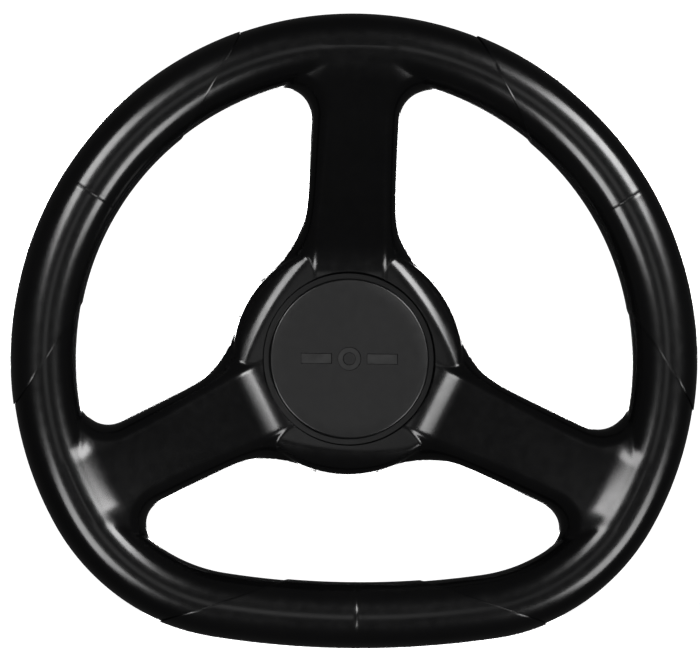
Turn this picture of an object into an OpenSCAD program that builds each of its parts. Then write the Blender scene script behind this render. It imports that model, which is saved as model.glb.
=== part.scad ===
// Quick release steering wheel: a moulded three-spoke rim with a flat bottom on a steel frame,
// and the wheel's half of a ball-lock quick release behind its hub.
//
// Every module works in the wheel's own frame: x to the driver's right, y up, and z from the
// socket's mouth towards the driver. in_place() turns that frame so that z up is the part's +Z,
// the column lies towards +Y, and the origin is on the steering axis where the pilot bore starts.

/* [Rim] */
// Radius of the rim's round part, from the steering axis to the middle of its tube
rim_r = 144.5; // [140:0.5:150]
// Radius of the two lower corners, to the middle of the tube
corner_r = 88; // [84:0.5:92]
// How far below level the round part meets each corner, in degrees
corner_start = 29.6; // [28:0.1:31]
// Drop from the steering axis to the middle of the bottom tube
bottom_drop = 119.6; // [119:0.1:121]
// Diameter of the tube at the three grips
grip_d = 31; // [30:0.5:33]
// Diameter of the tube where the spokes meet it
rim_d = 29.8; // [28:0.1:30]
// Diameter of the steel hoop inside the tube
hoop_d = 10; // [8:0.5:12]
// How far the rim's middle stands in front of the socket's mouth
rim_z = 81.2; // [78:0.1:84]

/* [Grips] */
// Direction of each side grip's middle, above level, in degrees
side_grip_angle = 30.7; // [29:0.1:32]
// Half of the angle that a side grip covers, in degrees
side_grip_half = 39.2; // [37:0.1:41]
// Angle of the bottom grip's seams away from straight down, seen from the corner's centre
bottom_seam_angle = 23.4; // [20:0.1:26]
// Slant of each seam away from square to the tube, in degrees
seam_slant = 48; // [40:1:52]

/* [Spokes] */
// Directions of the three spokes, in degrees
spoke_angles = [90, 206.4, 333.6];
// Width of a spoke along its outer half
spoke_w = 38.3; // [34:0.1:42]
// Growth of a spoke's width for each millimetre nearer the hub
spoke_taper = 0.11; // [0:0.01:0.15]
// Thickness of a spoke where it leaves the hub
spoke_root_t = 14; // [13:0.5:16]
// Thickness of a spoke at the rim
spoke_tip_t = 17; // [16:0.5:20]
// How far the hub lies behind the rim
dish = 34.8; // [33:0.1:37]
// Distance from the axis at which the spokes start to rise
dish_inner_r = 49; // [48:1:52]
// Distance from the axis at which the spokes have reached the rim's plane
dish_outer_r = 128; // [122:1:132]
// Radius of the hollow between the hub and a spoke
hub_fillet_r = 48; // [40:1:55]
// Radius of the hollow between a spoke and the rim
rim_fillet_r = 15.5; // [12:0.5:18]
// Width of the steel bar inside each spoke
bar_w = 22; // [18:1:24]
// Thickness of the steel bar inside each spoke
bar_t = 4; // [3:0.5:5]

/* [Hub] */
// Widest radius of the moulded hub
hub_r = 54; // [53:0.5:56]
// Distance from the axis to the raised ring's edge in front of each spoke
ring_reach = 46.4; // [46:0.1:48]
// Half of the length of that edge
ring_half = 15.6; // [14:0.1:18]
// Diameter of the steel plate inside the hub
plate_d = 86; // [84:1:88]
// Thickness of the steel plate
plate_t = 3; // [2.5:0.5:3.5]
// Diameter of the round cap
cap_d = 75; // [74:0.5:76]
// Width of the groove round the cap
cap_groove = 3; // [2:0.5:3]
// Thickness of the cap
cap_t = 3; // [2.5:0.5:3.5]
// Diameter of the circle of screws
screw_pcd = 58; // [57:0.5:59]
// Number of screws that hold the quick release
screw_count = 3; // [3:1:3]

/* [Quick release] */
// Diameter of the close bore that the column's nose fits
pilot_d = 30.1; // [30.1:0.1:30.5]
// Length of that bore
pilot_len = 12; // [10:1:12]
// Diameter of the entry, where the balls stand
entry_d = 31.5; // [31.5:0.1:32]
// Depth of the entry, from the mouth to the pilot bore
entry_len = 19; // [19:1:20]
// Outer diameter of the neck that the collar slides on
neck_d = 42; // [42:0.5:42.5]
// Length of the neck, from the mouth to the flange
neck_len = 37.4; // [37.4:0.1:38]
// Diameter of the bolted flange
flange_d = 66; // [65:0.5:66]
// Thickness of the bolted flange
flange_t = 6; // [6:0.5:6]
// Diameter of the spigot that centres the plate
spigot_d = 44; // [43:0.5:46]
// Number of teeth inside the spline sleeve
spline_teeth = 24; // [16:1:28]
// Number of lock balls
ball_count = 6; // [6:1:6]
// Diameter of a lock ball
ball_d = 8; // [7.5:0.1:8]
// Distance that a ball moves outward to let go
ball_lift = 1.9; // [1.8:0.05:1.95]
// Distance that the collar is pulled to release the wheel
release_travel = 8; // [7.5:0.1:8]
// Length of the collar
collar_len = 24; // [24:0.5:24]
// Diameter of the collar's finger flange
collar_d = 62; // [60:0.5:64]
// Number of finger scallops round the collar's flange
scallop_count = 12; // [8:1:14]
// Diameter of the spring's wire
wire_d = 1.6; // [1.4:0.1:1.6]
// Turns in the spring
spring_turns = 4.5; // [3.5:0.5:4.5]

/* [Hidden] */
$fn = 96;
// Sides of a tube's section
$tube_sides = 72;

// Cuts run this far past the faces that they open
past = 1;
// Gap left round a piece that the moulding encloses, and round the hoop
snug = 0.15;
hoop_gap = 0.35;
// Radial gap of a sliding fit
slip = 0.06;
// Where two arcs of the rim join: the step between their diameters, and their overlap in degrees
joint_step = 0.1;
joint_lap = 0.4;

// The corner arcs' centres and the long bottom arc, which meet without a kink
corner_x = (rim_r - corner_r) * cos(corner_start);
corner_y = -(rim_r - corner_r) * sin(corner_start);
corner_drop = bottom_drop + corner_y;
bottom_r = (pow(corner_x, 2) + pow(corner_drop, 2) - pow(corner_r, 2)) / (2 * (corner_drop - corner_r));
bottom_y = bottom_r - bottom_drop;
bottom_half = atan2(corner_x, bottom_y - corner_y);

grip_bore_d = hoop_d + 2 * snug;

// Where the hub's layers lie, counted from the mouth
plate_z = neck_len + flange_t;
plate_front_z = plate_z + plate_t;
pilot_end_z = entry_len + pilot_len;
hub_back_z = plate_z - 3.5;
recess_z = plate_front_z + 7;
hub_front_z = recess_z + 2.2;
recess_r = cap_d / 2 + cap_groove;
cavity_r = recess_r - 4.3;
back_opening_r = plate_d / 2 - 5;

// Screws and washers
screw_d = 6;
screw_hole_d = 6.4;
washer_d = 12;
washer_t = 1.2;
head_d = 10.5;
head_h = 3.3;
socket_d = 4.6;
socket_depth = 2;
tip_above_flange = 1;

// Snap legs behind the cap, between the screws and the spoke bars
leg_angles = [60, 180, 300];
leg_w = 6;
leg_t = 1.6;
leg_r = 34.2;
hook_reach = 1.2;
hook_t = 1.6;
slot_r = 33.7;
slot_len = 3.4;

// The collar and what stops it
clip_z = 1.5;
clip_t = 1.5;
clip_d = 48;
clip_groove_d = 39.6;
stop_z = clip_z + clip_t + 0.1;
stop_t = 2;
stop_d = 53;
collar_z = stop_z + stop_t;
collar_front_z = collar_z + collar_len;
flange_gap = neck_len - collar_front_z;
seat_t = 1.2;
spring_short = 8;
spring_len = spring_short + release_travel;
spring_z = neck_len - seat_t - spring_len;
spring_r = neck_d / 2 + 1.9;
counterbore_d = 49.2;
collar_body_d = 56;
collar_flange_t = 7;
scallop_d = 12;

// The cone inside the collar that presses the balls in, and where the balls stand
cone_slope = ball_lift / release_travel;
cone_angle = atan(cone_slope);
ball_z = entry_len - 6;
cone_end_z = ball_z + 1.8;
collar_bore_r = neck_d / 2 + slip;
ball_gap = 0.1;
ball_r = ball_d / 2;
ball_centre_r = collar_bore_r + cone_slope * (cone_end_z - ball_z) - ball_r / cos(cone_angle) - ball_gap;
pocket_gap = 0.1;

// The spline sleeve, pressed into the hub behind the pilot bore
sleeve_d = 34;
sleeve_major_r = 14.3;
sleeve_minor_r = 12.8;

// The rubber ring in the entry
ring_wire = 2;
ring_r = entry_d / 2 + 0.65;
ring_z = 4.3;
ring_groove = 2.6;

function polar(r, angle) = [r * cos(angle), r * sin(angle)];

// Turns the wheel's frame into the part's: z towards the driver becomes -Y, and y up becomes +Z
module in_place() translate([0, entry_len, 0]) rotate([90, 0, 0]) children();

// A cylinder on the steering axis between two depths
module disc(from, to, d) translate([0, 0, from]) cylinder(d = d, h = to - from);

// A hollow cylinder on the steering axis
module tube(from, to, outer, inner) {
    difference() {
        disc(from, to, outer);
        disc(from - past, to + past, inner);
    }
}

// Puts its children on a circle round the steering axis, once for each angle
module round_axis(r, angles) for (a = angles) rotate([0, 0, a]) translate([r, 0, 0]) children();

function screw_angles() = [for (i = [0 : screw_count - 1]) 30 + i * 360 / screw_count];
function ball_angle(i) = 30 + (i - 1) * 360 / ball_count;

// ---- The rim's path ----

// Sweeps a section along an arc round z, between two directions
module arc(r, from, to) rotate([0, 0, from]) rotate_extrude(angle = to - from) translate([r, 0]) children();

// A tube's section, solid where inner is 0
module tube_section(outer, inner = 0) {
    difference() {
        circle(d = outer, $fn = $tube_sides);
        if (inner > 0) circle(d = inner, $fn = $tube_sides);
    }
}

// Tube along the bottom arc and, up to reach degrees above straight down, along the corners.
// Where two arcs join, the slightly thinner wall ends inside the thicker one.
module bottom_sweep(reach, outer, inner = 0) {
    thin_outer = outer - joint_step;
    thin_inner = inner > 0 ? inner + joint_step : 0;
    half = bottom_half + joint_lap / 4;
    translate([0, bottom_y, rim_z]) arc(bottom_r, 270 - half, 270 + half) tube_section(thin_outer, thin_inner);
    translate([corner_x, corner_y, rim_z])
        arc(corner_r, 270 + bottom_half, 270 + reach) tube_section(outer, inner);
    translate([-corner_x, corner_y, rim_z])
        arc(corner_r, 270 - reach, 270 - bottom_half) tube_section(outer, inner);
}

// Tube round the whole rim
module rim_sweep(outer) {
    half = 90 + corner_start + joint_lap;
    translate([0, 0, rim_z]) arc(rim_r, 90 - half, 90 + half) tube_section(outer - joint_step);
    bottom_sweep(90 - corner_start, outer);
}

// A point on a seam, this far inward from where the seam meets the rim's outer edge.
// side is 1 where the grip lies anticlockwise of the seam, and -1 where it lies clockwise.
function on_seam(edge, normal, side, inward) = edge + polar(inward, normal + 180 - side * seam_slant);

// The plan of everything between two slanted seams
module between_seams(edge_a, normal_a, edge_b, normal_b) {
    inward = 2.4 * grip_d;
    outward = -grip_d;
    polygon([
        on_seam(edge_a, normal_a, 1, inward),
        on_seam(edge_a, normal_a, 1, outward),
        polar(2 * rim_r, normal_a),
        polar(2 * rim_r, normal_b),
        on_seam(edge_b, normal_b, -1, outward),
        on_seam(edge_b, normal_b, -1, inward)
    ]);
}

module right_grip_plan() {
    low = side_grip_angle - side_grip_half;
    high = side_grip_angle + side_grip_half;
    outer_r = rim_r + grip_d / 2;
    between_seams(polar(outer_r, low), low, polar(outer_r, high), high);
}

module bottom_grip_plan() {
    left = 270 - bottom_seam_angle;
    right = 270 + bottom_seam_angle;
    outer_r = corner_r + grip_d / 2;
    between_seams(
        [-corner_x, corner_y] + polar(outer_r, left), left,
        [corner_x, corner_y] + polar(outer_r, right), right
    );
}

module all_grip_plans() {
    right_grip_plan();
    mirror([1, 0, 0]) right_grip_plan();
    bottom_grip_plan();
}

// Everything in the rim's depth over a plan
module rim_depth() translate([0, 0, rim_z - grip_d]) linear_extrude(2 * grip_d) children();

// ---- Spokes ----

// Height of a spoke's middle at a distance from the axis
function spoke_z(a) =
    rim_z - dish * max(0, min(1, (dish_outer_r - a) / (dish_outer_r - dish_inner_r)));

function spoke_t(a) = spoke_root_t + (spoke_tip_t - spoke_root_t) * min(1, max(0, a - hub_r) / (rim_r - hub_r));

// Half of a spoke's width where no fillet widens it
function plain_half(a) = spoke_w / 2 + spoke_taper / 2 * max(0, 100 - a);

// Where the hub's fillet leaves the spoke, and where the rim's fillet starts
root_half = plain_half(76);
hub_fillet_a = sqrt(pow(hub_r + hub_fillet_r, 2) - pow(root_half + hub_fillet_r, 2));
rim_inner_r = rim_r - rim_d / 2;
rim_fillet_a = sqrt(pow(rim_inner_r - rim_fillet_r, 2) - pow(spoke_w / 2 + rim_fillet_r, 2));

function half_width(a) =
    a < hub_fillet_a ? root_half + hub_fillet_r - sqrt(pow(hub_fillet_r, 2) - pow(hub_fillet_a - a, 2))
    : a > rim_fillet_a ? spoke_w / 2 + rim_fillet_r
        - sqrt(max(0, pow(rim_fillet_r, 2) - pow(a - rim_fillet_a, 2)))
    : plain_half(a);

// The sections that a spoke is drawn through: along the hub's fillet, the slope and the rim's fillet
spoke_stations = concat(
    [for (i = [0 : 4]) 41 + i * (hub_fillet_a - 41) / 4],
    [92, rim_fillet_a],
    [for (turn = [30 : 20 : 90]) rim_fillet_a + rim_fillet_r * sin(turn)],
    [rim_inner_r + 6]
);

// A thin slice of a spoke with round edges
module spoke_section(a) {
    t = spoke_t(a);
    for (side = [-1, 1])
        translate([a, side * (half_width(a) - t / 2), spoke_z(a)]) sphere(d = t, $fn = 14);
}

module spoke_skin() {
    for (i = [0 : len(spoke_stations) - 2])
        hull() {
            spoke_section(spoke_stations[i]);
            spoke_section(spoke_stations[i + 1]);
        }
}

// Side view of a spoke bar, from its weld on the plate to the hoop
module bar_side_view(grow) {
    middle_z = plate_front_z + bar_t / 2;
    half = bar_t / 2 + grow;
    path = [[37 - grow, middle_z], [52, middle_z], [dish_outer_r, rim_z], [rim_r, rim_z]];
    polygon(concat(
        [for (p = path) p - [0, half]],
        [for (i = [len(path) - 1 : -1 : 0]) path[i] + [0, half]]
    ));
}

module spoke_bar(angle, grow = 0) {
    rotate([0, 0, angle])
        rotate([90, 0, 0])
            linear_extrude(bar_w + 2 * grow, center = true) bar_side_view(grow);
}

// A spoke bar with its end shaped to the hoop
module welded_bar(angle) {
    color("dimgray")
        in_place()
            difference() {
                spoke_bar(angle);
                translate([0, 0, rim_z]) arc(rim_r, angle - 15, angle + 15) circle(d = hoop_d + 0.1);
            }
}

module top_spoke_bar() welded_bar(spoke_angles[0]);

module left_spoke_bar() welded_bar(spoke_angles[1]);

module right_spoke_bar() welded_bar(spoke_angles[2]);

// ---- The moulding ----

// Plan of the raised ring: round, with a straight edge in front of each spoke
module ring_plan(grow = 0) {
    hull() {
        circle(r = recess_r + 3.5 + grow);
        for (a = spoke_angles)
            for (side = [-1, 1])
                rotate([0, 0, a]) translate([ring_reach - 4, side * (ring_half - 4)]) circle(r = 4 + grow);
    }
}

module hub_skin() {
    hull() {
        disc(hub_back_z, hub_back_z + 1, 2 * hub_r - 12);
        disc(plate_z, plate_front_z + 2, 2 * hub_r);
        translate([0, 0, hub_front_z - 1]) linear_extrude(1) ring_plan();
    }
}

// The spaces inside the moulding: hoop, bars, plate, screw cavity, cap recess and rear opening
module moulding_cavities() {
    rim_sweep(hoop_d + 2 * hoop_gap, $tube_sides = 16);
    for (a = spoke_angles) spoke_bar(a, snug);
    disc(plate_z - snug, plate_front_z + snug, plate_d + 4 * snug);
    disc(plate_z - snug, hub_front_z + past, 2 * cavity_r);
    disc(recess_z, hub_front_z + past, 2 * recess_r);
    disc(hub_back_z - past, plate_z, 2 * back_opening_r);
}

module wheel_body() {
    color([0.06, 0.06, 0.065])
        in_place()
            difference() {
                union() {
                    hub_skin();
                    for (a = spoke_angles) rotate([0, 0, a]) spoke_skin();
                    rim_sweep(rim_d, $tube_sides = 28);
                }
                rim_depth() offset(delta = snug) all_grip_plans();
                moulding_cavities();
            }
}

// ---- Grips and the hoop ----

module right_grip_shape() {
    intersection() {
        translate([0, 0, rim_z])
            arc(rim_r, side_grip_angle - side_grip_half - 2, side_grip_angle + side_grip_half + 2)
                tube_section(grip_d, grip_bore_d);
        rim_depth() right_grip_plan();
    }
}

module right_grip() color([0.09, 0.09, 0.095]) in_place() right_grip_shape();

module left_grip() color([0.09, 0.09, 0.095]) in_place() mirror([1, 0, 0]) right_grip_shape();

module bottom_grip() {
    color([0.09, 0.09, 0.095])
        in_place()
            intersection() {
                bottom_sweep(bottom_seam_angle + 2, grip_d, grip_bore_d);
                rim_depth() bottom_grip_plan();
            }
}

module rim_hoop() color("silver") in_place() rim_sweep(hoop_d);

// ---- Hub pieces ----

module hub_plate() {
    color("silver")
        in_place()
            difference() {
                disc(plate_z, plate_front_z, plate_d);
                disc(plate_z - past, plate_front_z + past, spigot_d + 2 * slip);
                round_axis(screw_pcd / 2, screw_angles()) disc(plate_z - past, plate_front_z + past, screw_hole_d);
                round_axis(slot_r, leg_angles)
                    translate([0, -leg_w / 2 - 0.5, plate_z - past])
                        cube([slot_len, leg_w + 1, plate_t + 2 * past]);
            }
}

module hub_screw() {
    head_z = plate_front_z + washer_t;
    difference() {
        union() {
            disc(neck_len + tip_above_flange, head_z, screw_d - 2 * slip);
            disc(head_z, head_z + 1.5, head_d);
            translate([0, 0, head_z + 1.5]) cylinder(d1 = head_d, d2 = head_d - 4, h = head_h - 1.5);
        }
        translate([0, 0, head_z + head_h - socket_depth]) cylinder(d = socket_d, h = socket_depth + past, $fn = 6);
    }
}

module hub_screws() color("gray") in_place() round_axis(screw_pcd / 2, screw_angles()) hub_screw();

module screw_washers() {
    color("gainsboro")
        in_place()
            round_axis(screw_pcd / 2, screw_angles())
                tube(plate_front_z, plate_front_z + washer_t, washer_d, screw_hole_d);
}

// One spring leg behind the cap, with the hook that catches behind the plate
module snap_leg() {
    hook_z = plate_z - hook_t - 0.2;
    translate([leg_r, -leg_w / 2, hook_z]) cube([leg_t, leg_w, recess_z - hook_z + past]);
    translate([leg_r, -leg_w / 2, hook_z]) cube([leg_t + hook_reach, leg_w, hook_t]);
}

// Plain sunk mark on the cap: a ring between two bars
module cap_mark() {
    mark_depth = 0.5;
    ring_outer_d = 11;
    ring_inner_d = 5.6;
    bar = [14, 4.4];
    mark_z = recess_z + cap_t - mark_depth;
    tube(mark_z, mark_z + past, ring_outer_d, ring_inner_d);
    for (side = [-1, 1])
        translate([side * 15.5 - bar[0] / 2, -bar[1] / 2, mark_z]) cube([bar[0], bar[1], past]);
}

module center_cap() {
    cap_front_z = recess_z + cap_t;
    chamfer = 0.8;
    color([0.19, 0.19, 0.2])
        in_place()
            difference() {
                union() {
                    disc(recess_z, cap_front_z - chamfer, cap_d);
                    translate([0, 0, cap_front_z - chamfer])
                        cylinder(d1 = cap_d, d2 = cap_d - 2 * chamfer, h = chamfer);
                    round_axis(0, leg_angles) snap_leg();
                }
                cap_mark();
            }
}

// ---- Quick release ----

// Pocket for one ball: round at the bottom, so that the ball can't drop into the bore
module ball_pocket() {
    pocket_r = ball_r + pocket_gap;
    translate([ball_centre_r, 0, ball_z]) {
        sphere(r = pocket_r);
        rotate([0, 90, 0]) cylinder(r = pocket_r, h = neck_d / 2);
    }
}

module release_hub() {
    mouth_chamfer = 0.8;
    color([0.13, 0.13, 0.14])
        in_place()
            difference() {
                union() {
                    disc(0, plate_z, neck_d);
                    disc(neck_len, plate_z, flange_d);
                    disc(plate_z, plate_front_z, spigot_d);
                }
                disc(-past, entry_len, entry_d);
                disc(0, pilot_end_z, pilot_d);
                disc(pilot_end_z, plate_front_z + past, sleeve_d);
                translate([0, 0, -0.01])
                    cylinder(d1 = entry_d + 2 * mouth_chamfer, d2 = entry_d, h = mouth_chamfer);
                tube(clip_z, clip_z + clip_t + 0.1, neck_d + 2 * past, clip_groove_d);
                disc(ring_z - ring_groove / 2, ring_z + ring_groove / 2, 2 * (ring_r + ring_wire / 2 + 0.05));
                for (i = [1 : ball_count]) rotate([0, 0, ball_angle(i)]) ball_pocket();
                round_axis(screw_pcd / 2, screw_angles()) disc(neck_len - past, plate_z + past, screw_d);
            }
}

// Inside of the spline sleeve: straight-sided teeth round the bore
module spline_plan() {
    pitch = 360 / spline_teeth;
    polygon([
        for (i = [0 : spline_teeth - 1])
            each [
                polar(sleeve_minor_r, (i - 0.28) * pitch),
                polar(sleeve_major_r, (i - 0.2) * pitch),
                polar(sleeve_major_r, (i + 0.2) * pitch),
                polar(sleeve_minor_r, (i + 0.28) * pitch)
            ]
    ]);
}

module spline_sleeve() {
    color("darkgray")
        in_place()
            translate([0, 0, pilot_end_z + 0.02])
                linear_extrude(plate_front_z - pilot_end_z - 0.02)
                    difference() {
                        circle(d = sleeve_d - 0.02);
                        spline_plan();
                    }
}

module anti_rattle_ring() {
    color("black")
        in_place()
            translate([0, 0, ring_z]) rotate_extrude() translate([ring_r, 0]) circle(d = ring_wire);
}

// Half of the collar's section: finger flange, cone for the balls, sliding bore and spring bore
module collar_section() {
    polygon([
        [collar_bore_r + cone_slope * (cone_end_z - collar_z), collar_z],
        [collar_d / 2 - 1, collar_z],
        [collar_d / 2, collar_z + 1],
        [collar_d / 2, collar_z + collar_flange_t - 1],
        [collar_d / 2 - 1, collar_z + collar_flange_t],
        [collar_body_d / 2, collar_z + collar_flange_t],
        [collar_body_d / 2, collar_front_z - 1],
        [collar_body_d / 2 - 1, collar_front_z],
        [counterbore_d / 2, collar_front_z],
        [counterbore_d / 2, spring_z],
        [collar_bore_r, spring_z],
        [collar_bore_r, cone_end_z]
    ]);
}

module lock_collar() {
    scallop_angles = [for (i = [0 : scallop_count - 1]) i * 360 / scallop_count];
    color([0.72, 0.73, 0.75])
        in_place()
            difference() {
                rotate_extrude() collar_section();
                round_axis(collar_d / 2 + scallop_d / 2 - 1.6, scallop_angles)
                    disc(collar_z - past, collar_z + collar_flange_t, scallop_d);
            }
}

module lock_ball(i) {
    color("silver")
        in_place()
            rotate([0, 0, ball_angle(i)]) translate([ball_centre_r, 0, ball_z]) sphere(d = ball_d);
}

// A coil of wire, as rings of points joined by flat sides
module coil(r, wire, length, turns, steps_a_turn = 16, sides = 6) {
    steps = turns * steps_a_turn;
    climb = length - wire;
    points = [
        for (i = [0 : steps])
            for (k = [0 : sides - 1])
                let (
                    turn = 360 * i / steps_a_turn,
                    out = r + wire / 2 * cos(360 * k / sides),
                    up = wire / 2 + climb * i / steps + wire / 2 * sin(360 * k / sides)
                )
                [out * cos(turn), out * sin(turn), up]
    ];
    walls = [
        for (i = [0 : steps - 1])
            for (k = [0 : sides - 1])
                let (here = i * sides, next = here + sides, other = (k + 1) % sides)
                each [[here + k, here + other, next + k], [here + other, next + other, next + k]]
    ];
    start_cap = [for (k = [sides - 1 : -1 : 0]) k];
    end_cap = [for (k = [0 : sides - 1]) steps * sides + k];
    polyhedron(points, concat([for (w = walls) [w[2], w[1], w[0]]], [end_cap, start_cap]));
}

module collar_spring() {
    color("silver")
        in_place()
            translate([0, 0, spring_z]) coil(spring_r, wire_d, spring_len, spring_turns);
}

module spring_seat() {
    color("gainsboro") in_place() tube(neck_len - seat_t, neck_len, counterbore_d - 0.6, neck_d + 0.3);
}

module stop_washer() color("gainsboro") in_place() tube(stop_z, stop_z + stop_t, stop_d, neck_d + 0.2);

// A spring clip with its gap and two plier ears
module retaining_ring() {
    inner_d = clip_groove_d + 0.1;
    ear_d = 5;
    ear_angle = 9;
    color("dimgray")
        in_place()
            translate([0, 0, clip_z + 0.05])
                linear_extrude(clip_t)
                    difference() {
                        union() {
                            circle(d = clip_d);
                            for (side = [-1, 1]) translate(polar(clip_d / 2 - 1, 90 + side * ear_angle)) circle(d = ear_d);
                        }
                        circle(d = inner_d);
                        translate([-1.5, 0]) square([3, clip_d]);
                        for (side = [-1, 1])
                            translate(polar(clip_d / 2 - 0.8, 90 + side * ear_angle)) circle(d = 1.8);
                    }
}

wheel_body();
left_grip();
right_grip();
bottom_grip();
center_cap();
rim_hoop();
top_spoke_bar();
left_spoke_bar();
right_spoke_bar();
hub_plate();
hub_screws();
screw_washers();
release_hub();
spline_sleeve();
anti_rattle_ring();
lock_collar();
collar_spring();
spring_seat();
stop_washer();
retaining_ring();
for (i = [1 : ball_count])
    lock_ball(i);
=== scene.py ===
import math

import bmesh
import bpy
import numpy as np
from mathutils import Matrix, Vector


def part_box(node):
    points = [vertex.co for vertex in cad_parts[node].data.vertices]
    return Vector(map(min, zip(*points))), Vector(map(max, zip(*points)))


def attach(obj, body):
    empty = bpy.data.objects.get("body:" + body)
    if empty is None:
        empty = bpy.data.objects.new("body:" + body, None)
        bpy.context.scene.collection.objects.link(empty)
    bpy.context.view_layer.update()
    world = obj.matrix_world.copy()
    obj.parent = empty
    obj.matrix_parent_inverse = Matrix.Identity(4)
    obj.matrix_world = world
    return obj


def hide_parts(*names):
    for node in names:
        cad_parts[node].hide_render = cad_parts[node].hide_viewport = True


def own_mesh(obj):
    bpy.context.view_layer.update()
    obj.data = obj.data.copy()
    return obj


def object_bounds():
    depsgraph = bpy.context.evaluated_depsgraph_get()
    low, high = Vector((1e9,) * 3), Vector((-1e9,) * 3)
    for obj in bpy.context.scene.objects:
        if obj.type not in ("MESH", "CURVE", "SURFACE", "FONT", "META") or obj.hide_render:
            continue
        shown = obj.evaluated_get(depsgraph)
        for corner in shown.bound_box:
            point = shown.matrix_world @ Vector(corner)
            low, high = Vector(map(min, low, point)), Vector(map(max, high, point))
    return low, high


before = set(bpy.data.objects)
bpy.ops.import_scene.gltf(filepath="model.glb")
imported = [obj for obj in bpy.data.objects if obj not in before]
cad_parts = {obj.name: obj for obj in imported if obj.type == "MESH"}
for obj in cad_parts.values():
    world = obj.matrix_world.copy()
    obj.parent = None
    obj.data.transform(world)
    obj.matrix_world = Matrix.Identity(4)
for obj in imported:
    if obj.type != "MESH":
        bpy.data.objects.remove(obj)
cad_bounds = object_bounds()

# Lengths are in millimetres in the wheel's own frame until a mesh is written: x to the driver's
# right, y up, and f forward out of the wheel towards the driver. Angles are in radians.

# ---- Sizes that the frame's nodes give ----


def node_span(node):
    """Lowest and highest (x, y, f) of a node, in millimetres."""
    low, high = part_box(node)
    return (
        np.array([low.x, low.z, -high.y]) * 1000,
        np.array([high.x, high.z, -low.y]) * 1000,
    )


grip_low, grip_high = node_span("right_grip")
hoop_low, hoop_high = node_span("rim_hoop")
_, cap_high = node_span("center_cap")
plate_low, plate_high = node_span("hub_plate")
body_low, _ = node_span("wheel_body")

RIM_F = (hoop_low[2] + hoop_high[2]) / 2
HOOP_R = (hoop_high[2] - hoop_low[2]) / 2
GRIP_R = (grip_high[2] - grip_low[2]) / 2
RIM_R = hoop_high[1] - HOOP_R
CAP_R = cap_high[0]
CAP_FRONT = cap_high[2]
PLATE_R = plate_high[0]
PLATE_BACK, PLATE_FRONT = plate_low[2], plate_high[2]
HUB_BACK = body_low[2]

# Radius of the moulded tube where it shows between the grips
TUBE_R = 14.9

# ---- The rim's path ----

# The path is three kinds of arc that meet without a kink: the round top, two corners and the bottom
CORNER_START = math.radians(29.6)
CORNER_R = 88.0
BOTTOM_DROP = -(hoop_low[1] + HOOP_R)
CORNER_X = (RIM_R - CORNER_R) * math.cos(CORNER_START)
CORNER_Y = -(RIM_R - CORNER_R) * math.sin(CORNER_START)
CORNER_DROP = BOTTOM_DROP + CORNER_Y
BOTTOM_R = (CORNER_X**2 + CORNER_DROP**2 - CORNER_R**2) / (2 * (CORNER_DROP - CORNER_R))
BOTTOM_Y = BOTTOM_R - BOTTOM_DROP
BOTTOM_HALF = math.atan2(CORNER_X, BOTTOM_Y - CORNER_Y)

# The tube's front is flatter than a circle, and its crest leans outward
CREST_SHIFT = 1.6
CREST_R = 29.0
CREST_DROP = 1.4
CREST_BLEND = 1.2

# Grips: direction of a side grip's middle, half of its angle, the bottom seams' angle and the slant
SIDE_ANGLE = math.radians(30.7)
SIDE_HALF = math.radians(39.2)
BOTTOM_SEAM = math.radians(23.4)
SEAM_SLANT = math.radians(48)
SEAM_GAP = 0.03
# How far on both sides of its corner a seam is looked for
SEAM_SEARCH = 0.6

# Skin of a grip: clearance round the hoop, lip radius and spacing of its rings of points
BORE_GAP = 0.15
GRIP_LIP = 0.35
RING_STEP = 1.9

# Mould line across the middle of each grip: a fine groove on a slight swelling
WITNESS_DEPTH, WITNESS_WIDTH = 0.08, 0.35
WITNESS_SWELL, WITNESS_SPREAD = 0.05, 2.4
WITNESS_ROWS, WITNESS_CLEAR = (0.22, 0.6), 1.2

# ---- Spokes and hub ----

SPOKE_ANGLES = [math.radians(a) for a in (90, 206.4, 333.6)]
SPOKE_W = 38.3
SPOKE_TAPER = 0.11
TAPER_END = 100.0
SPOKE_HALF_LIMIT = 46.0
SPOKE_EDGE_R = 6.4
SPOKE_BACK_EDGE_R = 1.0
ROOT_T, TIP_T = 14.0, 17.0
HUB_R = 54.0
HUB_EDGE_R = 5.0
HUB_BLEND = 3.0
HUB_FILLET = 48.0
ROOT_FROM = 76.0
RIM_FILLET = 17.5
ARM_FILLET = 0.6

# Back of a spoke: it rises by DISH between these two distances from the steering axis
DISH = 34.8
DISH_INNER, DISH_OUTER = 49.0, 128.0
DISH_SOFT = 0.1

# Front of a spoke: from the level ring round the hub, a bend, a straight slope and a bend at the rim.
# Past FOLLOW_START the front follows the rim's line, and past FADE_INNER its sides fall away
HUB_FRONT = CAP_FRONT - 0.8
SPOKE_SLOPE = 0.428
RISE_A, RISE_R = 38.3, 35.0
SPOKE_BEND_R = 45.0
FOLLOW_START, FOLLOW_LENGTH = 80.0, 40.0
FADE_START, FADE_LENGTH, FADE_DEPTH = 12.0, 34.0, 13.0
FADE_INNER, FADE_RAMP = 98.0, 14.0

# Heights over slanted faces are longer than the distance to them, and these shares make up for it
SIDE_SHARE, BACK_SHARE, FRONT_SHARE = 0.9, 0.92, 0.91

# Open side of the hub between two spokes: radius of its long curve and how far back its centre lies
LONG_SIDE_R = 140.0
LONG_SIDE_BACK = 95.7
CREST_F = RIM_F + TUBE_R - CREST_DROP - 0.15
CREST_A = RISE_A + (CREST_F - HUB_FRONT) / SPOKE_SLOPE + SPOKE_SLOPE * (RISE_R + SPOKE_BEND_R) / 2
RIDGE_R = 20.0
RIDGE_BACK = 3.6
RIDGE_BLEND = 0.3

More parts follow.
